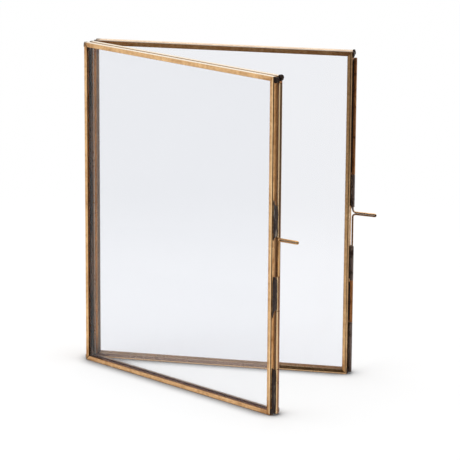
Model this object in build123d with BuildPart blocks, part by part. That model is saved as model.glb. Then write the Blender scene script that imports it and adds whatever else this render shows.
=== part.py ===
"""Hinged double photo frame: two leaves of paired glass panes edged in mitred brass channel.

Each leaf is two panes hinged at the spine and held shut at the free edge by a sliding wire latch.
Millimetres, +Z up. The back leaf's inner pane stands on the origin and runs along X.
"""

import os
from dataclasses import dataclass
from math import cos, radians, sin

from build123d import *

os.makedirs("parts", exist_ok=True)


@dataclass
class Latch:
    """One leaf's latch: tubes stacked up its free edge, and the pin as it was bent by hand."""

    foot_tube_length: float
    short_keeper_length: float
    lower_guide_length: float
    window: float
    upper_guide_length: float
    handle_drop: float
    bend_radius: float
    handle_length: float
    handle_turn: float


# Leaves
leaf_height = 240.0
leaf_width = 191.0
pane_gap = 2.4
fold_angle = 32.0
leaf_gap = 0.6

# Glass and the brass channel round it
glass_thickness = 2.0
glass_side_clearance = 0.05
glass_edge_clearance = 0.3
came_wall = 0.6
came_face = 3.4
came_round = 0.7

# Wire and tube stock
wire_diameter = 1.3
wire_clearance = 0.05
wire_chamfer = 0.25
tube_diameter = 2.4
tube_end_gap = 0.4

# Latch line on the free edge, in from the leaf's outer face, and what its tubes and pins share
latch_out = 1.8
latch_depth = 5.0
foot_margin = 1.2
keeper_engagement = 12.0
guide_engagement = 3.5
handle_run_gap = 0.2
pin_sides = 10

# Latch of each leaf
front_latch = Latch(
    foot_tube_length=32.0,
    short_keeper_length=41.5,
    lower_guide_length=24.0,
    window=28.3,
    upper_guide_length=22.5,
    handle_drop=0.2,
    bend_radius=1.0,
    handle_length=16.2,
    handle_turn=11.0,
)
back_latch = Latch(
    foot_tube_length=37.6,
    short_keeper_length=31.4,
    lower_guide_length=25.0,
    window=29.6,
    upper_guide_length=23.8,
    handle_drop=1.6,
    bend_radius=2.3,
    handle_length=18.5,
    handle_turn=-12.0,
)

# Solder: a bead on the edge at each mitred corner, the top ones reaching into the gap between the panes,
# and the seams that carry the latch tubes
spine_bead_length = 4.0
spine_bead_rise = 1.0
top_bead_length = 4.4
top_bead_rise = 1.8
top_bead_bridge = 1.4
foot_bead_length = 5.0
foot_bead_rise = 0.8
bead_corner_inset = 0.2
bead_side_inset = 0.4
seam_reach = 2.6
seam_end_inset = 0.8

# Hinges on the spine
hinge_end_margin = 6.0
knuckle_count = 5
spine_axis_out = 1.5
spine_strap = 1.3
pane_strap = 0.6
pane_strap_reach = 1.9
hinge_wire_overhang = 0.5

# Sizes that follow from the ones above
channel_width = glass_thickness + 2 * glass_side_clearance
came_thickness = channel_width + 2 * came_wall
far_depth = came_thickness + pane_gap
leaf_thickness = far_depth + came_thickness
tube_radius = tube_diameter / 2
bore_radius = wire_diameter / 2 + wire_clearance
bead_top = leaf_height - bead_corner_inset
outer_corners = [(0, 0), (leaf_width, 0), (leaf_width, leaf_height), (0, leaf_height)]
inner_corners = [
    (came_face, came_face),
    (leaf_width - came_face, came_face),
    (leaf_width - came_face, leaf_height - came_face),
    (came_face, leaf_height - came_face),
]


def leaf_floor(origin, turn):
    """Plane a leaf stands on: x along its width from the spine, y through its thickness."""
    return Plane(origin=origin, x_dir=(cos(radians(turn)), sin(radians(turn)), 0), z_dir=(0, 0, 1))


back_floor = leaf_floor((-leaf_width / 2, -came_thickness / 2, 0), 0)
fold_axis = back_floor.from_local_coords(Vector(-spine_axis_out, -leaf_gap / 2, 0))
front_turned = leaf_floor(fold_axis, -fold_angle)
front_floor = leaf_floor(
    front_turned.from_local_coords(Vector(spine_axis_out, -leaf_thickness - leaf_gap / 2, 0)), -fold_angle
)


def pane_face(floor, depth):
    """Near face of a pane, x along the leaf and y up, with the pane behind it."""
    return Plane(origin=floor.from_local_coords(Vector(0, depth, 0)), x_dir=floor.x_dir, z_dir=-floor.y_dir)


def save(builder, name):
    builder.part.label = name
    export_step(builder.part, f"parts/{name}.step")


def glass_pane(face):
    """Clear sheet, held in the channel on all four sides."""
    inset = came_wall + glass_edge_clearance
    with BuildPart() as sheet:
        with BuildSketch(face.offset(-came_wall - glass_side_clearance)):
            with Locations((leaf_width / 2, leaf_height / 2)):
                Rectangle(leaf_width - 2 * inset, leaf_height - 2 * inset)
        extrude(amount=-glass_thickness)
    return sheet


def came_strip(face, corner, along, outward):
    """One side of the brass edging: a U-channel with mitred ends and rounded outer edges."""
    follower = (corner + 1) % len(outer_corners)
    with BuildPart() as strip:
        with BuildSketch(face):
            with BuildLine():
                Polyline(
                    outer_corners[corner],
                    outer_corners[follower],
                    inner_corners[follower],
                    inner_corners[corner],
                    close=True,
                )
            make_face()
        extrude(amount=-came_thickness)
        with BuildSketch(face.offset(-came_wall)):
            with Locations((leaf_width / 2, leaf_height / 2)):
                Rectangle(leaf_width - 2 * came_wall, leaf_height - 2 * came_wall)
        extrude(amount=-channel_width, mode=Mode.SUBTRACT)
        long_edges = strip.edges().filter_by(Axis((0, 0, 0), along))
        fillet(long_edges.sort_by(Axis((0, 0, 0), outward))[-2:], came_round)
    return strip


def latch_spans(latch):
    """Heights of the ends of each latch tube, from the foot up."""
    lengths = {
        "foot_tube": latch.foot_tube_length,
        "short_keeper_tube": latch.short_keeper_length,
        "lower_guide_tube": latch.lower_guide_length,
        "upper_guide_tube": latch.upper_guide_length,
    }
    spans = {}
    low = foot_margin
    for name, length in lengths.items():
        spans[name] = (low, low + length)
        low += length + (latch.window if name == "lower_guide_tube" else tube_end_gap)
    spans["long_keeper_tube"] = (low, bead_top - top_bead_length - tube_end_gap)
    return spans


def straight_tube(floor, line_depth, span):
    """Latch tube standing off the free edge of a leaf."""
    with BuildPart() as tube:
        with BuildSketch(floor.offset(span[0])):
            with Locations((leaf_width + latch_out, line_depth)):
                Circle(tube_radius)
                Circle(bore_radius, mode=Mode.SUBTRACT)
        extrude(amount=span[1] - span[0])
    return tube


def seam_outline(line_depth, came_edge, reach):
    """Corners of a solder seam, from the channel's edge face to the latch tube."""
    side = 1 if reach > 0 else -1
    return [
        (leaf_width, came_edge),
        (leaf_width, came_edge + reach),
        (leaf_width + latch_out, line_depth + side * tube_radius),
        (leaf_width + latch_out, line_depth),
    ]


def solder(floor, line_depth, pane_depth, held_spans):
    """Solder of one pane: a bead at each mitred corner and the seams along its own latch tubes."""
    faces_near = pane_depth == 0
    outline = seam_outline(
        line_depth,
        came_thickness if faces_near else far_depth,
        -seam_reach if faces_near else seam_reach,
    )
    beads = [
        (0, -spine_bead_rise, bead_corner_inset, spine_bead_length, 0),
        (0, -spine_bead_rise, bead_top - spine_bead_length, spine_bead_length, 0),
        (leaf_width, foot_bead_rise, bead_corner_inset, foot_bead_length, 0),
        (leaf_width, top_bead_rise, bead_top - top_bead_length, top_bead_length, top_bead_bridge),
    ]
    with BuildPart() as group:
        for edge, rise, low, length, bridge in beads:
            near_side = bead_side_inset - (0 if faces_near else bridge)
            far_side = came_thickness - bead_side_inset + (bridge if faces_near else 0)
            with BuildSketch(pane_face(floor, pane_depth + near_side)):
                with BuildLine():
                    ThreePointArc((edge, low), (edge + rise, low + length / 2), (edge, low + length))
                    Line((edge, low + length), (edge, low))
                make_face()
            extrude(amount=near_side - far_side)
        for low, high in held_spans:
            with BuildSketch(floor.offset(low + seam_end_inset)):
                with BuildLine():
                    Polyline(*outline, close=True)
                make_face()
                with Locations((leaf_width + latch_out, line_depth)):
                    Circle(tube_radius, mode=Mode.SUBTRACT)
            extrude(amount=high - low - 2 * seam_end_inset)
    return group


def latch_pin(floor, line_depth, latch):
    """One wire: an upper leg, a flat hairpin handle bent outwards, and a lower leg."""
    spans = latch_spans(latch)
    bend = latch.bend_radius
    wire_radius = wire_diameter / 2
    run_half_gap = wire_radius + handle_run_gap / 2
    upper_run = spans["upper_guide_tube"][0] - latch.handle_drop - bend
    handle_height = upper_run - run_half_gap
    lower_run = handle_height - run_half_gap
    pin_top = spans["long_keeper_tube"][0] + keeper_engagement
    pin_bottom = spans["lower_guide_tube"][1] - guide_engagement
    straight_end = latch.handle_length - run_half_gap - wire_radius
    foot = floor.from_local_coords(Vector(leaf_width + latch_out, line_depth, 0))
    direction = floor.x_dir.rotate(Axis.Z, latch.handle_turn)
    side = Plane(origin=foot, x_dir=direction, z_dir=direction.cross(Vector(0, 0, 1)))
    with BuildPart() as pin:
        with BuildLine(side) as path:
            Line((0, pin_top), (0, upper_run + bend))
            CenterArc((bend, upper_run + bend), bend, 180, 90)
            Line((bend, upper_run), (straight_end, upper_run))
            CenterArc((straight_end, handle_height), run_half_gap, 90, -180)
            Line((straight_end, lower_run), (bend, lower_run))
            CenterArc((bend, lower_run - bend), bend, 90, 90)
            Line((0, lower_run - bend), (0, pin_bottom))
        with BuildSketch(Plane(origin=foot + Vector(0, 0, pin_top), x_dir=direction, z_dir=(0, 0, -1))):
            RegularPolygon(wire_radius, pin_sides)
        sweep(path=path.wire())
        by_height = pin.faces().sort_by(Axis.Z)
        chamfer(by_height[0].edges() + by_height[-1].edges(), wire_chamfer)
    return pin


def hinge_spans():
    """Heights of the knuckles of one hinge, from the bottom of the leaf to its top."""
    room = leaf_height - 2 * hinge_end_margin
    length = (room - (knuckle_count - 1) * tube_end_gap) / knuckle_count
    lows = [hinge_end_margin + i * (length + tube_end_gap) for i in range(knuckle_count)]
    return [(low, low + length) for low in lows]


def knuckles(floor, axis, strap, first):
    """Every other knuckle of a hinge: a tube on a strap that lies on the spine edge."""
    (strap_low_u, strap_low_n), (strap_high_u, strap_high_n) = strap
    with BuildPart() as group:
        for low, high in hinge_spans()[first::2]:
            with BuildSketch(floor.offset(low)):
                with Locations(axis):
                    Circle(tube_radius)
                with Locations(((strap_low_u + strap_high_u) / 2, (strap_low_n + strap_high_n) / 2)):
                    Rectangle(strap_high_u - strap_low_u, strap_high_n - strap_low_n)
                with Locations(axis):
                    Circle(bore_radius, mode=Mode.SUBTRACT)
            extrude(amount=high - low)
    return group


def hinge_wire(floor, axis):
    """Wire that runs through all the knuckles of one hinge."""
    low = hinge_end_margin - hinge_wire_overhang
    with BuildPart() as wire:
        with BuildSketch(floor.offset(low)):
            with Locations(axis):
                Circle(wire_diameter / 2)
        extrude(amount=leaf_height - 2 * low)
    return wire


# Panes: the near and the far pane of each leaf, seen from the front
panes = {
    "front_outer": pane_face(front_floor, 0),
    "front_inner": pane_face(front_floor, far_depth),
    "back_inner": pane_face(back_floor, 0),
    "back_outer": pane_face(back_floor, far_depth),
}
for pane_name, face in panes.items():
    save(glass_pane(face), f"{pane_name}_glass")
    sides = {
        "bottom": (0, face.x_dir, -face.y_dir),
        "free": (1, face.y_dir, face.x_dir),
        "top": (2, face.x_dir, face.y_dir),
        "spine": (3, face.y_dir, -face.x_dir),
    }
    for side_name, (corner, along, outward) in sides.items():
        save(came_strip(face, corner, along, outward), f"{pane_name}_{side_name}_came")

# Latch of each leaf: guides on the outer pane, keepers on the inner pane, one pin
guide_tubes = ("foot_tube", "lower_guide_tube", "upper_guide_tube")
keeper_tubes = ("short_keeper_tube", "long_keeper_tube")
for leaf_name, floor, line_depth, outer_depth, inner_depth, latch in (
    ("front", front_floor, latch_depth, 0, far_depth, front_latch),
    ("back", back_floor, leaf_thickness - latch_depth, far_depth, 0, back_latch),
):
    spans = latch_spans(latch)
    for tube_name, span in spans.items():
        save(straight_tube(floor, line_depth, span), f"{leaf_name}_{tube_name}")
    guide_solder = solder(floor, line_depth, outer_depth, [spans[name] for name in guide_tubes])
    save(guide_solder, f"{leaf_name}_guide_solder")
    keeper_solder = solder(floor, line_depth, inner_depth, [spans[name] for name in keeper_tubes])
    save(keeper_solder, f"{leaf_name}_keeper_solder")
    save(latch_pin(floor, line_depth, latch), f"{leaf_name}_latch_pin")

# Hinge between the two panes of each leaf
pane_axis = (-tube_radius, leaf_thickness / 2)
near_strap = ((-pane_strap, came_thickness - pane_strap_reach), (0, pane_axis[1]))
far_strap = ((-pane_strap, pane_axis[1]), (0, far_depth + pane_strap_reach))
for leaf_name, floor, near_pane, far_pane, near_first in (
    ("front", front_floor, "front_outer", "front_inner", 0),
    ("back", back_floor, "back_inner", "back_outer", 1),
):
    save(knuckles(floor, pane_axis, near_strap, near_first), f"{near_pane}_pane_knuckles")
    save(knuckles(floor, pane_axis, far_strap, 1 - near_first), f"{far_pane}_pane_knuckles")
    save(hinge_wire(floor, pane_axis), f"{leaf_name}_pane_hinge_wire")

# Hinge that folds the two leaves
front_fold_axis = (-spine_axis_out, leaf_thickness + leaf_gap / 2)
back_fold_axis = (-spine_axis_out, -leaf_gap / 2)
front_strap = ((-spine_axis_out, leaf_thickness - spine_strap), (0, leaf_thickness))
back_strap = ((-spine_axis_out, 0), (0, spine_strap))
save(knuckles(front_floor, front_fold_axis, front_strap, 0), "front_inner_spine_knuckles")
save(knuckles(back_floor, back_fold_axis, back_strap, 1), "back_inner_spine_knuckles")
save(hinge_wire(back_floor, back_fold_axis), "spine_hinge_wire")
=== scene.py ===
"""Looks of the hinged double photo frame: aged brass channel, clear glass, dark solder, a white studio."""

from dataclasses import dataclass
from math import copysign, cos, pi, radians, sin

import bmesh
import bpy
from mathutils import Matrix, Vector, noise


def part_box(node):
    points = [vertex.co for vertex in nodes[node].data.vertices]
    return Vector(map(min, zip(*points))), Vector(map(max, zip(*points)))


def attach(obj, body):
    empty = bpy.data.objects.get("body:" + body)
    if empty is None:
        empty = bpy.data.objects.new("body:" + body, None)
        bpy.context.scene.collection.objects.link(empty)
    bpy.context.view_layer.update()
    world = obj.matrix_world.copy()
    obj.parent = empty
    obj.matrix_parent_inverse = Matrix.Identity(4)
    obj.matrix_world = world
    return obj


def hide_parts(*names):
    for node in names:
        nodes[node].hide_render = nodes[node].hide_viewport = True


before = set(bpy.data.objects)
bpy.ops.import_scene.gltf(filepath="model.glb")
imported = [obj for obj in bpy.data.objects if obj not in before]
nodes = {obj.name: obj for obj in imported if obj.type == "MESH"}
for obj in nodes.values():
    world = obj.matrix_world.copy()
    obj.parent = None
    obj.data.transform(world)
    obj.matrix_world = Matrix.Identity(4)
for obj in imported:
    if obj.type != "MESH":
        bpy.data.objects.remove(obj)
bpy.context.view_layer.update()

# Camera: where it stands, as seen from the object
CAMERA_TARGET = Vector((0.0039, 0.0125, 0.10025))
CAMERA_AZIMUTH = radians(12.622)
CAMERA_ELEVATION = radians(13.804)
CAMERA_ROLL = radians(0.391)
CAMERA_DISTANCE = 1.91865
CAMERA_LENS = 203.4
CAMERA_SENSOR = 36.0

# Studio: paper that fades into white and has a painted contact shadow, a soft lamp, and a dark side of the
# room for the metal to mirror
WHITE = (1.0, 1.0, 1.0, 1.0)
FLOOR_RADIUS = 4.0
FLOOR_SEGMENTS = 96
FLOOR_DROP = 0.0001
FLOOR_FADE = (0.30, 0.60)
FLOOR_FADED = 0.99
PAPER_TONES = ((0.92, 0.92, 0.92, 1.0), (0.93, 0.93, 0.93, 1.0))
PAPER_GRAIN = 900.0
# Painted contact shadow: the paper's colour darkens towards this tone where ambient occlusion finds the
# object near
CONTACT_REACH = 0.015
CONTACT_SAMPLES = 24
CONTACT_DEPTH = (0.45, 0.98)
PAINTED_CONTACT_SHADOW = (0.35, 0.35, 0.36, 1.0)
DARK_SIDE = (0.30, -0.954, 0.0)
DARK_TURN = (0.62, 0.90)
DARK_LEVEL = 0.08
KEY_SIZE = 0.9
KEY_POWER = 5.6
KEY_PLACE = Vector((-0.25, -0.05, 1.5))

# Latch tubes on a leaf's outer pane and on its inner pane
GUIDE_TUBES = ("foot", "lower_guide", "upper_guide")
KEEPER_TUBES = ("short_keeper", "long_keeper")

# Solder seams, from a channel's edge to a latch tube
SEAM_ANCHOR = {"guide": 0.0019, "keeper": 0.0004}
SEAM_HALF_WIDTH = {"guide": 0.0011, "keeper": 0.00045}
SEAM_TAILS = {"foot": (0.0008, 0.002), "lower_guide": (0.006, 0.001), "upper_guide": (0.003, 0.0045)}
SEAM_HEAD = 0.9
SEAM_INSET = 0.0008
SEAM_SWELL = 0.0004
SEAM_KEEP_OUT = 0.85
SEAM_SIDES = 14
SEAM_STEP = 0.0008
SEAM_FEWEST_STEPS = 8
SEAM_TAIL_FADE = 0.0015
SEAM_TAIL_SHARE = 0.16
SEAM_POINT = 0.15
SEAM_LUMPS = ((0.26, 0.0030), (0.12, 0.0012))

# Solder beads on the mitred corners: length along the edge and rise over it
SPINE_BEAD = (0.0040, 0.0010)
FOOT_BEAD = (0.0052, 0.0009)
TOP_BEAD = {"front": (0.0046, 0.0019), "back": (0.0046, 0.0014)}
TOP_BRIDGE = 0.0011
TOP_RAISE = {"near": -0.0002, "far": 0.0007}
BEAD_INSET = 0.0003
BEAD_SINK = 0.6
BEAD_SQUARENESS = 0.4
BEAD_FINENESS = 4
BEAD_LUMPS = ((0.34, 0.8), (0.14, 0.35))

# Seeds that make every lump of solder different
LUMP_SHIFT = (7.3, 3.1, 11.9)
LEAF_SEED = {"front": 1, "back": 40}
KEEPER_SEED = 80
SEAM_SEED = 20
BEAD_SEED_STEP = 5

# Latch wire
HANDLE_BEND = {"front": 0.0010, "back": 0.0023}
HANDLE_DROP = {"front": 0.0002, "back": 0.0016}
HANDLE_RUN_GAP = 0.0001
BEND_STEPS = 8
WIRE_SIDES = 18
WIRE_END = ((0.45, 0.0), (0.8, 0.00012), (1.0, 0.0004))


def srgb(*levels):
    """Linear colour from the 0 to 255 levels of a screen colour."""
    parts = [level / 255 for level in levels]
    linear = [p / 12.92 if p <= 0.04045 else ((p + 0.055) / 1.055) ** 2.4 for p in parts]
    return (*linear, 1.0)


# Leaves, measured on the model

class Leaf:
    """A leaf's own axes: a along its width from the spine, b through its thickness, z up."""

    def __init__(self, name, origin, turn, near, far):
        self.name = name
        self.origin = origin
        self.turn = turn
        self.near = near
        self.far = far
        self.along = Vector((cos(turn), sin(turn), 0))
        self.through = Vector((-sin(turn), cos(turn), 0))

    def place(self, a, b, z):
        return self.origin + a * self.along + b * self.through + Vector((0, 0, z))

    def local(self, point):
        offset = point - self.origin
        return offset.dot(self.along), offset.dot(self.through)


def size_of(node):
    low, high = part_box(node)
    return high - low


def centre_of(node):
    low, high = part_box(node)
    return (low + high) / 2


WIDTH = size_of("back_inner_top_came").x
HEIGHT = size_of("back_inner_spine_came").z
CAME_THICKNESS = size_of("back_inner_top_came").y
CAME_FACE = size_of("back_inner_top_came").z
PANE_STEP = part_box("back_outer_top_came")[0].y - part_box("back_inner_top_came")[0].y
LEAF_THICKNESS = PANE_STEP + CAME_THICKNESS
GAP_MIDDLE = LEAF_THICKNESS / 2
GAP_HALF = (PANE_STEP - CAME_THICKNESS) / 2
TUBE_RADIUS = size_of("back_long_keeper_tube").x / 2
WIRE_RADIUS = size_of("spine_hinge_wire").x / 2


def back_leaf():
    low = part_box("back_inner_top_came")[0]
    return Leaf("back", Vector((low.x, low.y, 0)), 0.0, "back_inner", "back_outer")


def front_leaf(back):
    """The front leaf is the same leaf turned about the spine, so its box gives the turn."""
    straight_low, straight_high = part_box("back_inner_glass")
    turned_low, turned_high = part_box("front_outer_glass")
    straight = straight_high - straight_low
    turned = turned_high - turned_low
    spread = straight.x ** 2 - straight.y ** 2
    cosine = (straight.x * turned.x - straight.y * turned.y) / spread
    sine = (straight.x * turned.y - straight.y * turned.x) / spread
    inset = straight_low - back.origin
    depth = straight_high.y - back.origin.y
    origin = Vector((
        turned_low.x - inset.x * cosine - inset.y * sine,
        turned_high.y + inset.x * sine - depth * cosine,
        0,
    ))
    turn = Vector((cosine, -sine)).angle_signed(Vector((1, 0)))
    return Leaf("front", origin, turn, "front_outer", "front_inner")


BACK = back_leaf()
FRONT = front_leaf(BACK)


def tube_place(leaf, tube):
    """Where a latch tube's axis stands, across and through its leaf."""
    return leaf.local(centre_of(f"{leaf.name}_{tube}_tube"))


def tube_span(leaf, tube):
    """Heights of a latch tube's two ends."""
    low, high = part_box(f"{leaf.name}_{tube}_tube")
    return low.z, high.z


# Shader helpers

class Shader:
    """A material's nodes, with short calls for the kinds used here."""

    def __init__(self, name, tree=None):
        self.material = None
        if tree is None:
            self.material = bpy.data.materials.new(name)
            self.material.use_nodes = True
            tree = self.material.node_tree
        self.tree = tree
        self.tree.nodes.clear()

    def feed(self, socket, value):
        if isinstance(value, bpy.types.NodeSocket):
            self.tree.links.new(value, socket)
        else:
            socket.default_value = value

    def node(self, kind, inputs=None, **settings):
        made = self.tree.nodes.new("ShaderNode" + kind)
        for key, value in settings.items():
            setattr(made, key, value)
        for key, value in (inputs or {}).items():
            self.feed(made.inputs[key], value)
        return made

    def math(self, operation, first, second=0.0, third=0.0, clamp=False):
        inputs = {0: first, 1: second, 2: third}
        return self.node("Math", inputs, operation=operation, use_clamp=clamp).outputs[0]

    def product(self, first, second):
        return self.math("MULTIPLY", first, second)

    def larger(self, first, second):
        return self.math("MAXIMUM", first, second)

    def smaller(self, first, second):
        return self.math("MINIMUM", first, second)

    def minus(self, first, second):
        return self.math("SUBTRACT", first, second)

    def away(self, value, place):
        """Distance of a value from a place, to either side."""
        return self.math("ABSOLUTE", self.minus(value, place))

    def from_ends(self, value, length):
        """Distance of a value from the nearer end of a length."""
        return self.smaller(value, self.minus(length, value))

    def ramp(self, value, start, end, low=0.0, high=1.0):
        """Smooth step of a value, from low at start to high at end."""
        inputs = {0: value, 1: start, 2: end, 3: low, 4: high}
        return self.node("MapRange", inputs, interpolation_type="SMOOTHSTEP").outputs[0]

    def blend(self, factor, first, second):
        made = self.node("Mix", data_type="RGBA")
        self.feed(made.inputs[0], factor)
        self.feed(made.inputs[6], first)
        self.feed(made.inputs[7], second)
        return made.outputs[2]

    def scaled(self, vector, scale):
        return self.node("VectorMath", {0: vector, 1: scale}, operation="MULTIPLY").outputs[0]

    def upright_part(self, vector):
        return self.node("SeparateXYZ", {0: vector}).outputs[2]

    def facing_up(self):
        """How far the surface faces up, from -1 to 1."""
        return self.upright_part(self.node("NewGeometry").outputs["Normal"])

    def noise(self, vector, scale=1.0, detail=3.0, roughness=0.55):
        inputs = {"Vector": vector, "Scale": scale, "Detail": detail, "Roughness": roughness}
        return self.node("TexNoise", inputs).outputs[0]

    def bump(self, height, strength, distance, under=None):
        inputs = {"Height": height, "Strength": strength, "Distance": distance}
        if under is not None:
            inputs["Normal"] = under
        return self.node("Bump", inputs).outputs[0]

    def seen(self):
        """1 for what is looked at, also through glass, and 0 for light on its way to other things."""
        path = self.node("LightPath")
        return self.larger(path.outputs["Is Camera Ray"], path.outputs["Is Transmission Ray"])

    def mixed(self, factor, first, second):
        return self.node("MixShader", {0: factor, 1: first.outputs[0], 2: second.outputs[0]})

    def finish(self, surface, kind="OutputMaterial"):
        self.node(kind, {"Surface": surface.outputs[0]})
        return self.material

    def finish_metal(self, colour, metallic, roughness, normal):
        return self.finish(self.node("BsdfPrincipled", {
            "Base Color": colour,
            "Metallic": metallic,
            "Roughness": roughness,
            "Normal": normal,
        }))


def own_place(shader):
    """Coordinates that stay with the piece when a joint moves."""
    return shader.node("TexCoord").outputs["Object"]


def leaf_place(shader, leaf):
    """The leaf's own coordinates and their three parts."""
    mapping = shader.node("Mapping", {"Vector": own_place(shader)}, vector_type="TEXTURE")
    mapping.inputs["Location"].default_value = leaf.origin
    mapping.inputs["Rotation"].default_value = (0, 0, leaf.turn)
    local = mapping.outputs[0]
    parts = shader.node("SeparateXYZ", {0: local})
    return local, parts.outputs[0], parts.outputs[1], parts.outputs[2]


# Tones

GOLD = srgb(236, 194, 142)
PALE = srgb(252, 240, 220)
CREAM = srgb(250, 222, 176)
TAN = srgb(236, 196, 148)
BROWN = srgb(166, 118, 74)
VEILED_SHADE = srgb(122, 96, 84)
RUSSET = srgb(116, 60, 32)
MAUVE_BROWN = srgb(112, 72, 56)
UMBER = srgb(96, 62, 38)
DUSK = srgb(60, 35, 25)
BRONZE = srgb(44, 27, 10)
# soot, and the tone of much painted shade and of dark painted reflections
SOOT_AND_SHADE = srgb(38, 24, 16)


# Channel brass

@dataclass
class PatinaAndPaintedLight:
    """How one strip has aged, and the light and shade painted on it: strengths from 0 to 1, tones, and widths
    in metres.
    """

    # browning all over
    age: float
    # painted shade on the flat face, its mirror of a darker floor and room, with its tones towards the spine
    # and towards the latch
    shade: float = 0.0
    shade_tones: tuple = (UMBER, UMBER)
    # painted reflection along the outer rim: a dark line, or a light one where its tone is light
    rim: float = 0.0
    rim_width: float = 0.00036
    rim_tone: tuple = SOOT_AND_SHADE
    # painted shade on what lies in the gap between the panes, and on the edge next to the glass
    gap_shade: float = 0.85
    gap_shade_tone: tuple = UMBER
    edge_shade_tone: tuple = None
    # darker mauve-brown on the far edge, painted highlight on the top, a dark line and a painted highlight
    # line on the face
    reddened_edge: float = 0.0
    top_highlight: float = 0.85
    dark_line: float = 0.0
    face_highlight: float = 0.0
    face_highlight_place: float = 0.0010
    # bare metal inside the far channel
    bloom: float = 0.0


PATINA_AND_PAINTED_LIGHT = {
    "front_top": PatinaAndPaintedLight(0.34, gap_shade=0.5),
    "front_bottom": PatinaAndPaintedLight(0.40, gap_shade=0.92, gap_shade_tone=RUSSET, bloom=0.85),
    "front_spine": PatinaAndPaintedLight(0.40, rim=0.7, gap_shade=0.92, gap_shade_tone=DUSK, edge_shade_tone=SOOT_AND_SHADE, bloom=0.85),
    "front_free": PatinaAndPaintedLight(0.46, rim=0.92, reddened_edge=0.8, face_highlight=0.55),
    "back_top": PatinaAndPaintedLight(0.75, shade=0.35, rim=0.8, gap_shade=0.3, top_highlight=0.62),
    # painted shade on the back's bottom face, lighter towards the spine where the front glass stands before
    # it
    "back_bottom": PatinaAndPaintedLight(
        0.25, shade=0.92, shade_tones=(VEILED_SHADE, BRONZE), rim=0.85, rim_width=0.0007, rim_tone=TAN, gap_shade=0.0
    ),
    "back_spine": PatinaAndPaintedLight(0.40, rim=0.55, rim_width=0.00024, gap_shade=0.55),
    "back_free": PatinaAndPaintedLight(0.42, rim=0.55, rim_width=0.00024, dark_line=0.9, face_highlight=0.3, face_highlight_place=0.0004),
}

# Grain of the brass, as noise scales, and how much each adds to the browning
STREAK_LONG = 45.0
STREAK_FINE = 900.0
STREAKS = {
    "rail": (STREAK_LONG, STREAK_FINE, STREAK_FINE),
    "stile": (STREAK_FINE, STREAK_FINE, STREAK_LONG),
}
WAVE_SCALE = 0.25
CLOUD_SCALE = 70.0
MOTTLE_SCALE = 380.0
SPECK_SCALE = 520.0
SPECK_LEVELS = (0.70, 0.76)
SPECK_SHARE = (0.05, 0.7)
WEAR_START = -1.67
WEAR_STREAKS = 1.25
WEAR_CLOUDS = 0.9
WEAR_MOTTLE = 1.2
WEAR_CORNER = 0.32
WEAR_ROUGHNESS = (0.16, 0.25)
WAVE_BUMP = (0.35, 0.00025)
STREAK_BUMP = (0.25, 0.00006)

# Marks of age and of painted light and shade, from where each begins to where it is full, in metres from the
# line or edge that it follows
CORNER_REACH = (0.018, 0.002)
MITRE_LINE = (0.0008, 0.0002)
BLOT_REACH = (0.0042, 0.0012)
BLOT_PLACE = (0.040, 0.010)
TOP_HIGHLIGHT_BELOW = (0.0016, 0.0006)
GAP_SHADE_LINE = (0.0003, 0.00005)
FLAT_LINE = (0.00025, 0.00005)
DARK_LINE_PLACE = 0.00095
DARK_LINE_SPREAD = (0.0004, 0.0001)
FACE_HIGHLIGHT_LINE = (0.0005, 0.0002)
SLOT_PLACE = (0.0012, 0.0018)
SLOT_DEPTH = (0.00030, 0.00045)
REDDENED_LINE = (0.0012, 0.0008)
REDDENED_PLACE = (0.0010, 0.0018)

# The same as shares: of the channel's face, the rim's width, the leaf's width, or of facing up
MITRE_END = 1.25
RIM_FADE = 1.8
MITRE_SIDES = (0.6, 0.4)
SHADE_TURN = (0.68, 0.76)
TOP_HIGHLIGHT_TURN = (0.3, 0.9)

# Strengths that all strips have in common
MITRE_STRENGTHS = (0.12, 0.85)
BLOT_STRENGTH = 0.6


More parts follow.
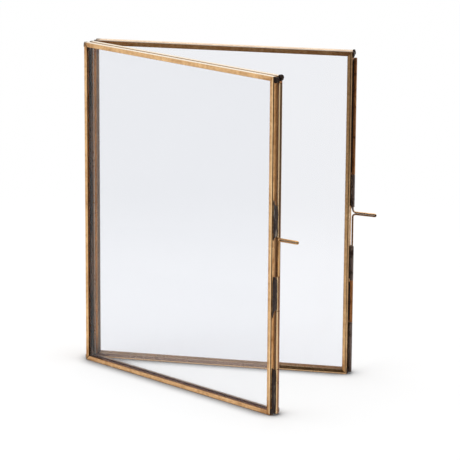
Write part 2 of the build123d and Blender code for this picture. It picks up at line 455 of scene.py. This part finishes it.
def came_brass(leaf, strip, direction):
    """Aged brass channel: streaks along the strip, browner and darkened by soot towards the mitred corners,
    with painted highlights, shade and reflections.
    """
    strip_look = PATINA_AND_PAINTED_LIGHT[f"{leaf.name}_{strip}"]
    shader = Shader(f"{leaf.name}_{strip}_channel_brass")
    local, a, b, z = leaf_place(shader, leaf)
    side = shader.from_ends(a, WIDTH)
    end = shader.from_ends(z, HEIGHT)
    off_face = shader.from_ends(b, LEAF_THICKNESS)
    flat = shader.ramp(off_face, *FLAT_LINE)
    corner = shader.ramp(shader.larger(side, end), *CORNER_REACH)
    streaks = shader.noise(shader.scaled(local, STREAKS[direction]), detail=4.0)

    wear = strip_look.age + WEAR_START
    wear = shader.math("MULTIPLY_ADD", streaks, WEAR_STREAKS, wear)
    wear = shader.math("MULTIPLY_ADD", shader.noise(local, CLOUD_SCALE, detail=4.0), WEAR_CLOUDS, wear)
    wear = shader.math("MULTIPLY_ADD", shader.noise(local, MOTTLE_SCALE), WEAR_MOTTLE, wear)
    wear = shader.math("MULTIPLY_ADD", corner, WEAR_CORNER, wear, clamp=True)

    def face_line(place, line, strength):
        """Line on the flat face, at a distance from the strip's outer side."""
        return shader.product(flat, shader.ramp(shader.away(side, place), *line, 0.0, strength))

    # painted highlight: near the top of the leaf, surfaces turn pale as they face up
    top = shader.ramp(z, HEIGHT - TOP_HIGHLIGHT_BELOW[0], HEIGHT - TOP_HIGHLIGHT_BELOW[1])
    top_highlight = shader.product(shader.ramp(shader.facing_up(), *TOP_HIGHLIGHT_TURN, 0.0, strip_look.top_highlight), top)
    # painted shade in the gap between the panes and on the channel's edge next to the glass
    in_gap = shader.ramp(shader.away(b, GAP_MIDDLE), GAP_HALF + GAP_SHADE_LINE[0], GAP_HALF + GAP_SHADE_LINE[1])
    off_glass = shader.smaller(side, end)
    inner_edge = shader.ramp(off_glass, CAME_FACE - GAP_SHADE_LINE[0], CAME_FACE - GAP_SHADE_LINE[1])
    far_slot = shader.ramp(b, PANE_STEP + SLOT_PLACE[0], PANE_STEP + SLOT_PLACE[1])
    bloom = shader.product(far_slot, shader.ramp(off_face, *SLOT_DEPTH, 0.0, strip_look.bloom))
    latch_share = shader.ramp(a, WIDTH * SHADE_TURN[0], WIDTH * SHADE_TURN[1])
    far_edge = shader.ramp(b, PANE_STEP + REDDENED_PLACE[0], PANE_STEP + REDDENED_PLACE[1])
    reddened_edge = shader.product(shader.ramp(side, *REDDENED_LINE, 0.0, strip_look.reddened_edge), far_edge)
    off_rim = shader.larger(side if direction == "stile" else end, off_face)
    rim = shader.ramp(off_rim, strip_look.rim_width * RIM_FADE, strip_look.rim_width, 0.0, strip_look.rim)

    marks = (
        # painted highlight on the top
        (top_highlight, PALE),
        # painted shade in the gap and on the edge by the glass
        (shader.product(in_gap, strip_look.gap_shade), strip_look.gap_shade_tone),
        (shader.product(inner_edge, strip_look.gap_shade), strip_look.edge_shade_tone or strip_look.gap_shade_tone),
        (bloom, PALE),
        # painted shade on the flat face
        (shader.product(flat, strip_look.shade), shader.blend(latch_share, *strip_look.shade_tones)),
        # painted highlight line on the face
        (face_line(strip_look.face_highlight_place, FACE_HIGHLIGHT_LINE, strip_look.face_highlight), CREAM),
        # dark line on the face, at a set distance from the outer side
        (face_line(DARK_LINE_PLACE, DARK_LINE_SPREAD, strip_look.dark_line), SOOT_AND_SHADE),
        # darker mauve-brown on the far pane's free edge
        (reddened_edge, MAUVE_BROWN),
        # painted reflection along the rim
        (rim, strip_look.rim_tone),
        (strip_soot(shader, local, a, z, side, end, corner), SOOT_AND_SHADE),
    )
    colour = shader.blend(wear, GOLD, BROWN)
    for share, tone in marks:
        colour = shader.blend(share, colour, tone)
    wave_stretch = tuple(scale * WAVE_SCALE for scale in STREAKS[direction])
    normal = shader.bump(shader.noise(shader.scaled(local, wave_stretch), detail=1.0), *WAVE_BUMP)
    normal = shader.bump(streaks, *STREAK_BUMP, normal)
    return shader.finish_metal(colour, 1.0, shader.math("MULTIPLY_ADD", wear, *WEAR_ROUGHNESS), normal)


def strip_soot(shader, local, a, z, side, end, corner):
    """Soot in specks, along the mitres and in a blot on the upper corner at the spine."""
    reach = shader.larger(side, end)
    specks = shader.ramp(shader.noise(local, SPECK_SCALE, detail=2.0), *SPECK_LEVELS)
    soot = shader.product(specks, shader.math("MULTIPLY_ADD", corner, SPECK_SHARE[1], SPECK_SHARE[0]))
    on_face = shader.ramp(reach, CAME_FACE * MITRE_END, CAME_FACE)
    mitre = shader.product(shader.ramp(shader.away(side, end), *MITRE_LINE), on_face)
    by_side = shader.ramp(a, WIDTH * MITRE_SIDES[0], WIDTH * MITRE_SIDES[1], *MITRE_STRENGTHS)
    upper_spine = shader.minus(z, a)
    placed = shader.ramp(upper_spine, HEIGHT - BLOT_PLACE[0], HEIGHT - BLOT_PLACE[1], 0.0, BLOT_STRENGTH)
    blot = shader.product(shader.ramp(reach, *BLOT_REACH), placed)
    return shader.larger(soot, shader.larger(shader.product(mitre, by_side), blot))


# Tube and wire

@dataclass
class Stock:
    """Drawn metal: its bright and dull tones, its dirt, how rough and grimy it is, and how strong its painted
    highlight on top.
    """

    bright: tuple
    dull: tuple
    dirt: tuple = UMBER
    roughness: float = 0.22
    grime: float = 0.15
    crown_highlight: float = 0.0


STOCK = {
    # front_tube_brass and back_tube_brass are a lighter and a darker copy of one tube brass: painted light on
    # the front leaf's tubes, painted shade on the back leaf's keeper tubes; the knuckles and hinge wires wear
    # the darker copy too
    "front_tube_brass": Stock(srgb(236, 196, 148), srgb(202, 152, 102), grime=0.08),
    "back_tube_brass": Stock(srgb(168, 118, 76), srgb(118, 78, 46), roughness=0.30, grime=0.35),
    "dark_tinned_tube": Stock(srgb(112, 98, 92), srgb(84, 72, 66), dirt=SOOT_AND_SHADE, roughness=0.34, grime=0.3),
    "front_wire": Stock(srgb(204, 162, 108), srgb(146, 102, 60), crown_highlight=0.6),
    "back_wire": Stock(srgb(134, 92, 56), srgb(84, 54, 32), crown_highlight=0.8),
}
DRAWN_STREAKS = (700.0, 700.0, 60.0)
DRAWN_LEVELS = (0.3, 0.7)
DRAWN_BUMP = (0.2, 0.00005)
PATCH_SCALE = 260.0
PATCH_BUMP = (0.3, 0.0001)
SPOT_LEVELS = (0.62, 0.78)
SPOT_GRIME = 0.3
SPOT_ROUGHNESS = 0.2
CROWN_HIGHLIGHT_TURN = (0.3, 0.8)
CREVICE_SHADE_LINE = (0.00045, 0.00015)
CREVICE_SHADE_STRENGTH = 0.95
# Painted shade down the outer side of one leaf's tubes, and a painted highlight along their crest
SIDE_SHADE_LINE = (-0.0003, 0.0003)
SIDE_SHADE_STRENGTH = 0.85
SIDE_SHADE_HEIGHTS = (0.45, 0.65)
SIDE_SHADE_DEEPENING = 0.75
CREST_HIGHLIGHT_LINE = (-0.0004, -0.0008)
CREST_HIGHLIGHT_STRENGTH = 0.7


def drawn_metal(name, crevice=None, painted_light_leaf=None):
    """Tube or wire: patchy grime, painted shade at the height of a crevice, and on one leaf's tubes painted
    shade down their outer side and a painted highlight along their crest.
    """
    stock = STOCK[name]
    shader = Shader(name)
    place = own_place(shader)
    streaks = shader.noise(shader.scaled(place, DRAWN_STREAKS))
    patches = shader.noise(place, PATCH_SCALE, detail=4.0)
    spots = shader.ramp(patches, *(level - stock.grime * SPOT_GRIME for level in SPOT_LEVELS))
    colour = shader.blend(shader.ramp(streaks, *DRAWN_LEVELS), stock.bright, stock.dull)
    colour = shader.blend(spots, colour, stock.dirt)
    # painted highlight on surfaces that face up
    colour = shader.blend(shader.ramp(shader.facing_up(), *CROWN_HIGHLIGHT_TURN, 0.0, stock.crown_highlight), colour, GOLD)
    metallic = 1.0
    if crevice is not None:
        # painted shade in the crevice between the handle's two runs
        off_crevice = shader.away(shader.upright_part(place), crevice)
        colour = shader.blend(shader.ramp(off_crevice, *CREVICE_SHADE_LINE, 0.0, CREVICE_SHADE_STRENGTH), colour, SOOT_AND_SHADE)
    if painted_light_leaf is not None:
        tube_a, tube_b = tube_place(painted_light_leaf, "long_keeper")
        a, b, z = leaf_place(shader, painted_light_leaf)[1:]
        off_axis = shader.math("ADD", shader.minus(a, tube_a), shader.minus(b, tube_b))
        # painted shade down the tubes' outer side, deeper above mid-height
        deeper_side_shade = shader.ramp(z, HEIGHT * SIDE_SHADE_HEIGHTS[0], HEIGHT * SIDE_SHADE_HEIGHTS[1], 0.0, SIDE_SHADE_DEEPENING)
        side_shade = shader.ramp(off_axis, *SIDE_SHADE_LINE, 0.0, SIDE_SHADE_STRENGTH)
        colour = shader.blend(side_shade, colour, shader.blend(deeper_side_shade, MAUVE_BROWN, SOOT_AND_SHADE))
        # painted highlight along the tubes' crest, less metallic there
        crest_highlight = shader.ramp(off_axis, *CREST_HIGHLIGHT_LINE, 0.0, CREST_HIGHLIGHT_STRENGTH)
        colour = shader.blend(crest_highlight, colour, CREAM)
        metallic = shader.minus(1.0, crest_highlight)
    roughness = shader.math("MULTIPLY_ADD", spots, SPOT_ROUGHNESS, stock.roughness)
    normal = shader.bump(streaks, *DRAWN_BUMP)
    normal = shader.bump(patches, PATCH_BUMP[0], PATCH_BUMP[1] * stock.grime, normal)
    return shader.finish_metal(colour, metallic, roughness, normal)


# Solder and glass

SOLDER_LUMPS = 650.0
SOLDER_STREAKS = (520.0, 520.0, 90.0)
SOLDER_BARE_AND_SHEEN = (0.58, 0.72)
SOLDER_METALLIC = 0.8
SOLDER_ROUGHNESS = (0.3, 0.3)
SOLDER_BUMP = (0.5, 0.0002)
TOP_CHAR = (0.008, 0.006)
TOP_CHAR_STRENGTH = 0.9
FOOT_CHAR = (0.055, 0.0495)
FOOT_CHAR_STRENGTH = 0.6
GLASS_IOR = 1.5
GLASS_SMEAR = (14.0, 14.0, 30.0)
GLASS_MIRROR = {"front": (0.3, 0.3, 0.3, 1.0), "back": (0.12, 0.12, 0.12, 1.0)}
GLASS_SHADOW = (0.988, 0.989, 0.991, 1.0)
GLASS_TINT = {
    "front": ((0.968, 0.971, 0.977, 1.0), (0.973, 0.976, 0.981, 1.0)),
    "back": ((0.931, 0.936, 0.953, 1.0), (0.939, 0.944, 0.959, 1.0)),
}


def solder_metal(name, dark, light, sheen):
    """Blackened tin: lumpy, with pale streaks along the seam that are partly bare tin and partly painted
    sheen, charred at the top corners and the foot.
    """
    shader = Shader(name)
    place = own_place(shader)
    lumps = shader.noise(place, SOLDER_LUMPS, detail=4.0)
    # pale streaks along the seam: partly bare tin, partly painted sheen
    bare_and_sheen = shader.ramp(shader.noise(shader.scaled(place, SOLDER_STREAKS), detail=2.0), *SOLDER_BARE_AND_SHEEN)
    colour = shader.blend(lumps, dark, light)
    colour = shader.blend(bare_and_sheen, colour, sheen)
    height = shader.upright_part(place)
    top_char = shader.ramp(height, HEIGHT - TOP_CHAR[0], HEIGHT - TOP_CHAR[1], 0.0, TOP_CHAR_STRENGTH)
    foot_char = shader.ramp(height, *FOOT_CHAR, 0.0, FOOT_CHAR_STRENGTH)
    colour = shader.blend(shader.larger(top_char, foot_char), colour, SOOT_AND_SHADE)
    roughness = shader.math("MULTIPLY_ADD", lumps, *SOLDER_ROUGHNESS)
    return shader.finish_metal(colour, SOLDER_METALLIC, roughness, shader.bump(lumps, *SOLDER_BUMP))


def clear_glass(leaf):
    """Picture glass: bends the sight lines a little, and lets the room's light through untouched."""
    shader = Shader(f"{leaf.name}_picture_glass")
    smear = shader.noise(shader.scaled(own_place(shader), GLASS_SMEAR))
    through = shader.node("BsdfTransparent", {"Color": GLASS_SHADOW})
    solid = shader.node("BsdfPrincipled", {
        "Base Color": shader.blend(smear, *GLASS_TINT[leaf.name]),
        "Roughness": 0.0,
        "IOR": GLASS_IOR,
        "Transmission Weight": 1.0,
        "Specular Tint": GLASS_MIRROR[leaf.name],
    })
    return shader.finish(shader.mixed(shader.seen(), through, solid))


def dress(node, material):
    mesh = nodes[node].data
    mesh.materials.clear()
    mesh.materials.append(material)


def dress_frame():
    """Gives the model's solids their materials, all but the solder and latch pins, which pieces made here
    replace.
    """
    bright = drawn_metal("front_tube_brass", painted_light_leaf=FRONT)
    dull = drawn_metal("back_tube_brass")
    tinned = drawn_metal("dark_tinned_tube")
    tube_metals = {"front": (bright, bright), "back": (tinned, dull)}
    for leaf in (FRONT, BACK):
        glass = clear_glass(leaf)
        strips = {strip: came_brass(leaf, strip, "rail") for strip in ("top", "bottom")}
        strips |= {strip: came_brass(leaf, strip, "stile") for strip in ("spine", "free")}
        for pane in (leaf.near, leaf.far):
            dress(f"{pane}_glass", glass)
            for strip, brass in strips.items():
                dress(f"{pane}_{strip}_came", brass)
            dress(f"{pane}_pane_knuckles", dull)
        dress(f"{leaf.name}_inner_spine_knuckles", dull)
        dress(f"{leaf.name}_pane_hinge_wire", dull)
        guide_metal, keeper_metal = tube_metals[leaf.name]
        for tube in GUIDE_TUBES:
            dress(f"{leaf.name}_{tube}_tube", guide_metal)
        for tube in KEEPER_TUBES:
            dress(f"{leaf.name}_{tube}_tube", keeper_metal)
    dress("spine_hinge_wire", dull)


# Pieces modelled here

def skin_rings(bm, rings):
    """Closes a row of vertex rings into a skin with capped ends."""
    for low, high in zip(rings, rings[1:]):
        for i in range(len(low)):
            j = (i + 1) % len(low)
            bm.faces.new((low[i], low[j], high[j], high[i]))
    bm.faces.new(list(reversed(rings[0])))
    bm.faces.new(rings[-1])


def add_piece(name, bm, material, body, replaced):
    """Turns a finished mesh into a piece that rides on a body in place of a plain solid."""
    bmesh.ops.recalc_face_normals(bm, faces=bm.faces)
    mesh = bpy.data.meshes.new(name)
    bm.to_mesh(mesh)
    bm.free()
    mesh.shade_smooth()
    mesh.materials.append(material)
    piece = bpy.data.objects.new(name, mesh)
    bpy.context.scene.collection.objects.link(piece)
    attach(piece, body)
    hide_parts(replaced)


def swell(point, lumps, seed):
    """Growth of a surface at a point, from smooth noise of several heights and sizes."""
    growth = 1.0
    for i, (height, size) in enumerate(lumps):
        shift = Vector([(seed + i) * step for step in LUMP_SHIFT])
        growth += height * noise.noise(point / size + shift)
    return growth


def solder_seam(bm, leaf, span, tails, edge, tube, half_width, seed):
    """Spindle of solder from a channel's edge to a tube's wall, clear of its bore, with tails at its ends."""
    low, high = span
    start, end = low - tails[0], high + tails[1]
    foot = Vector(edge)
    tube_axis = Vector(tube)
    axis = (tube_axis - foot).normalized()
    head = tube_axis - axis * TUBE_RADIUS * SEAM_HEAD
    across = Vector((-axis.y, axis.x))
    keep_out = TUBE_RADIUS * SEAM_KEEP_OUT
    steps = max(SEAM_FEWEST_STEPS, round((end - start) / SEAM_STEP))
    rings = []
    for i in range(steps + 1):
        share = i / steps
        z = start + share * (end - start)
        past_tube = max(low - z, z - high, 0.0)
        reach = max(0.0, 1 - past_tube / SEAM_TAIL_FADE) * 0.5
        middle = foot.lerp(head, reach)
        long_half = (head - foot).length * max(reach, SEAM_TAIL_SHARE) + SEAM_SWELL
        spindle = (1 - abs(2 * share - 1) ** 3) ** 0.5 * (1 - SEAM_POINT) + SEAM_POINT
        ring = []
        for k in range(SEAM_SIDES):
            angle = 2 * pi * k / SEAM_SIDES
            flat = long_half * cos(angle) * axis + half_width * sin(angle) * across
            point = leaf.place(middle.x + flat.x, middle.y + flat.y, z)
            off_tube = middle + flat * spindle * swell(point, SEAM_LUMPS, seed) - tube_axis
            if off_tube.length < keep_out:
                off_tube = off_tube.normalized() * keep_out
            spot = tube_axis + off_tube
            ring.append(bm.verts.new(leaf.place(spot.x, spot.y, z)))
        rings.append(ring)
    skin_rings(bm, rings)


def solder_bead(bm, leaf, edge, outward, sides, height, size, seed):
    """Irregular bead on the edge face at a mitred corner, from one depth in the leaf to another."""
    made = bmesh.ops.create_icosphere(bm, subdivisions=BEAD_FINENESS, radius=1.0)
    depth = (sides[0] + sides[1]) / 2
    half_width = (sides[1] - sides[0]) / 2
    length, rise = size
    for vert in made["verts"]:
        out, through, up = vert.co
        growth = swell(vert.co, BEAD_LUMPS, seed)
        tight = min(1.0, growth)
        reach = rise if out > 0 else rise * BEAD_SINK
        across = copysign(abs(through) ** BEAD_SQUARENESS, through)
        vert.co = leaf.place(
            edge + outward * out * reach * growth,
            depth + across * half_width * tight,
            height + up * length / 2 * tight,
        )


def solder_piece(leaf, pane, kind, tubes, material, seed):
    """All the solder of one pane: its corner beads and the seams that hold its latch tubes."""
    bm = bmesh.new()
    near = pane == leaf.near
    start = 0.0 if near else PANE_STEP
    plain = (start + BEAD_INSET, start + CAME_THICKNESS - BEAD_INSET)
    bridged = (plain[0], start + CAME_THICKNESS + TOP_BRIDGE) if near else (start - TOP_BRIDGE, plain[1])
    top_bead = TOP_BEAD[leaf.name]
    top = HEIGHT - top_bead[0] / 2 + TOP_RAISE["near" if near else "far"]
    beads = (
        (0.0, -1, plain, SPINE_BEAD[0] / 2 + BEAD_INSET, SPINE_BEAD),
        (0.0, -1, plain, HEIGHT - SPINE_BEAD[0] / 2 - BEAD_INSET, SPINE_BEAD),
        (WIDTH, 1, plain, FOOT_BEAD[0] / 2, FOOT_BEAD),
        (WIDTH, 1, bridged, top, top_bead),
    )
    for i, (edge, outward, sides, height, size) in enumerate(beads):
        solder_bead(bm, leaf, edge, outward, sides, height, size, seed + BEAD_SEED_STEP * i)
    anchor = CAME_THICKNESS - SEAM_ANCHOR[kind] if near else PANE_STEP + SEAM_ANCHOR[kind]
    for i, tube in enumerate(tubes):
        low, high = tube_span(leaf, tube)
        span = (low + SEAM_INSET, high - SEAM_INSET)
        tails = SEAM_TAILS.get(tube, (0.0, 0.0))
        place = tube_place(leaf, tube)
        width = SEAM_HALF_WIDTH[kind]
        solder_seam(bm, leaf, span, tails, (WIDTH, anchor), place, width, seed + SEAM_SEED + i)
    name = f"{leaf.name}_{kind}_solder"
    add_piece(f"{name}_lumps", bm, material, pane, name)


def add_solder():
    grey = solder_metal("grey_solder", srgb(40, 33, 30), srgb(92, 80, 76), srgb(150, 140, 130))
    black = solder_metal("black_solder", srgb(22, 14, 10), srgb(52, 38, 32), srgb(74, 60, 52))
    for leaf in (FRONT, BACK):
        seed = LEAF_SEED[leaf.name]
        solder_piece(leaf, f"{leaf.name}_outer", "guide", GUIDE_TUBES, grey, seed)
        solder_piece(leaf, f"{leaf.name}_inner", "keeper", KEEPER_TUBES, black, seed + KEEPER_SEED)


class PinLine:
    """A latch pin's bent line, in an upright plane through its axis: out along the handle, and up."""

    def __init__(self, leaf):
        low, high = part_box(f"{leaf.name}_latch_pin")
        self.top = high.z
        self.bottom = low.z
        self.bend = HANDLE_BEND[leaf.name]
        self.half_gap = WIRE_RADIUS + HANDLE_RUN_GAP / 2
        self.upper_run = tube_span(leaf, "upper_guide")[0] - HANDLE_DROP[leaf.name] - self.bend
        self.lower_run = self.upper_run - 2 * self.half_gap
        self.middle = (self.upper_run + self.lower_run) / 2
        self.axis = leaf.place(*tube_place(leaf, "upper_guide"), 0)
        self.way, self.reach = self.handle(nodes[f"{leaf.name}_latch_pin"].data)

    def handle(self, mesh):
        """Way the handle points and how far, from the plain pin's farthest part."""
        flat = [Vector((v.co.x - self.axis.x, v.co.y - self.axis.y)) for v in mesh.vertices]
        farthest = max(p.length for p in flat)
        near_tip = [p for p in flat if p.length > farthest - WIRE_RADIUS]
        way = (sum(near_tip, Vector((0, 0))) / len(near_tip)).normalized()
        return Vector((way.x, way.y, 0)), max(p.dot(way) for p in flat)

    def points(self):
        turn_end = self.reach - WIRE_RADIUS - self.half_gap
        line = [(0.0, self.top)]
        line += arc((self.bend, self.upper_run + self.bend), self.bend, 180, 90)
        line += arc((turn_end, self.middle), self.half_gap, 90, -180)
        line += arc((self.bend, self.lower_run - self.bend), self.bend, 90, 90)
        line += [(0.0, self.bottom)]
        return [Vector(p) for p in line]


def arc(centre, radius, start, turn):
    """Points of an arc in the handle's plane, angles in degrees."""
    angles = [radians(start + turn * i / BEND_STEPS) for i in range(BEND_STEPS + 1)]
    return [(centre[0] + radius * cos(t), centre[1] + radius * sin(t)) for t in angles]


def ring_spots(i, count):
    """Rings at one point of a wire, as share of the radius and place along it, with the cut ends rounded."""
    if i == 0:
        return WIRE_END
    if i == count - 1:
        return [(share, -push) for share, push in reversed(WIRE_END)]
    return [(1.0, 0.0)]


def latch_wire(leaf):
    """One round wire: upper leg, flat hairpin handle, lower leg."""
    pin = PinLine(leaf)
    points = pin.points()
    side = pin.way.cross(Vector((0, 0, 1)))
    bm = bmesh.new()
    rings = []
    for i, point in enumerate(points):
        before = points[max(i - 1, 0)]
        after = points[min(i + 1, len(points) - 1)]
        ahead = (after - before).normalized()
        outward = Vector((-ahead.y, ahead.x))
        for share, push in ring_spots(i, len(points)):
            radius = WIRE_RADIUS * share
            ring = []
            for k in range(WIRE_SIDES):
                angle = 2 * pi * k / WIRE_SIDES
                flat = point + ahead * push + outward * radius * cos(angle)
                upright = Vector((0, 0, flat.y))
                ring.append(bm.verts.new(pin.axis + pin.way * flat.x + upright + side * radius * sin(angle)))
            rings.append(ring)
    skin_rings(bm, rings)
    material = drawn_metal(f"{leaf.name}_wire", crevice=pin.middle)
    name = f"{leaf.name}_latch_pin"
    add_piece(f"{leaf.name}_latch_wire", bm, material, f"{leaf.name}_pin", name)


# Studio

def add_world():
    """White where it is looked at, and for the light on the object white with one dark side."""
    world = bpy.data.worlds.new("studio")
    bpy.context.scene.world = world
    world.use_nodes = True
    shader = Shader("studio", world.node_tree)
    direction = shader.node("TexCoord").outputs["Generated"]
    front = shader.node("VectorMath", {0: direction, 1: DARK_SIDE}, operation="DOT_PRODUCT")
    turn = {0: front.outputs["Value"], 1: DARK_TURN[0], 2: DARK_TURN[1], 3: 1.0, 4: DARK_LEVEL}
    level = shader.node("MapRange", turn).outputs[0]
    strength = shader.larger(level, shader.seen())
    shader.finish(shader.node("Background", {"Color": WHITE, "Strength": strength}), "OutputWorld")


def floor_material():
    """White paper that keeps the object's shadow, deepened near the object by a painted contact shadow, and
    fades into the white round it.
    """
    shader = Shader("studio_paper")
    place = own_place(shader)
    seen = shader.seen()
    paper = shader.blend(shader.noise(place, PAPER_GRAIN, detail=2.0), *PAPER_TONES)
    # painted contact shadow: darker paper where ambient occlusion is high, only where it is looked at
    occlusion = shader.node("AmbientOcclusion", {"Distance": CONTACT_REACH}, samples=CONTACT_SAMPLES)
    unshaded_share = shader.ramp(occlusion.outputs["AO"], *CONTACT_DEPTH)
    unshaded_share = shader.larger(unshaded_share, shader.minus(1.0, seen))
    diffuse = shader.node("BsdfDiffuse", {"Color": shader.blend(unshaded_share, PAINTED_CONTACT_SHADOW, paper)})
    distance = shader.node("VectorMath", {0: place}, operation="LENGTH").outputs["Value"]
    fade = shader.ramp(distance, *FLOOR_FADE, 0.0, FLOOR_FADED)
    clear = shader.node("BsdfTransparent")
    white = shader.node("Emission", {"Color": WHITE, "Strength": 1.0})
    return shader.finish(shader.mixed(fade, diffuse, shader.mixed(seen, clear, white)))


def add_floor():
    bm = bmesh.new()
    bmesh.ops.create_circle(bm, cap_ends=True, segments=FLOOR_SEGMENTS, radius=FLOOR_RADIUS)
    mesh = bpy.data.meshes.new("floor")
    bm.to_mesh(mesh)
    bm.free()
    mesh.materials.append(floor_material())
    floor = bpy.data.objects.new("floor", mesh)
    floor.location.z = -FLOOR_DROP
    bpy.context.scene.collection.objects.link(floor)


def add_lamp(name, size, power, place):
    """Soft square lamp that faces the object and isn't seen itself."""
    data = bpy.data.lights.new(name, "AREA")
    data.size = size
    data.energy = power
    lamp = bpy.data.objects.new(name, data)
    lamp.location = place
    lamp.rotation_euler = (CAMERA_TARGET - place).to_track_quat("-Z", "Y").to_euler()
    lamp.visible_camera = False
    lamp.visible_transmission = False
    bpy.context.scene.collection.objects.link(lamp)


def add_camera():
    flat = cos(CAMERA_ELEVATION)
    back = Vector((sin(CAMERA_AZIMUTH) * flat, -cos(CAMERA_AZIMUTH) * flat, sin(CAMERA_ELEVATION)))
    level = Vector((cos(CAMERA_AZIMUTH), sin(CAMERA_AZIMUTH), 0))
    upright = back.cross(level)
    right = cos(CAMERA_ROLL) * level + sin(CAMERA_ROLL) * upright
    up = cos(CAMERA_ROLL) * upright - sin(CAMERA_ROLL) * level
    data = bpy.data.cameras.new("camera")
    data.lens = CAMERA_LENS
    data.sensor_width = CAMERA_SENSOR
    camera = bpy.data.objects.new("camera", data)
    turn = Matrix((right, up, back)).transposed().to_4x4()
    camera.matrix_world = Matrix.Translation(CAMERA_TARGET + CAMERA_DISTANCE * back) @ turn
    bpy.context.scene.collection.objects.link(camera)
    bpy.context.scene.camera = camera


bpy.context.scene.view_settings.view_transform = "Standard"
dress_frame()
add_solder()
for leaf in (FRONT, BACK):
    latch_wire(leaf)
add_world()
add_floor()
add_lamp("key", KEY_SIZE, KEY_POWER, KEY_PLACE)
add_camera()
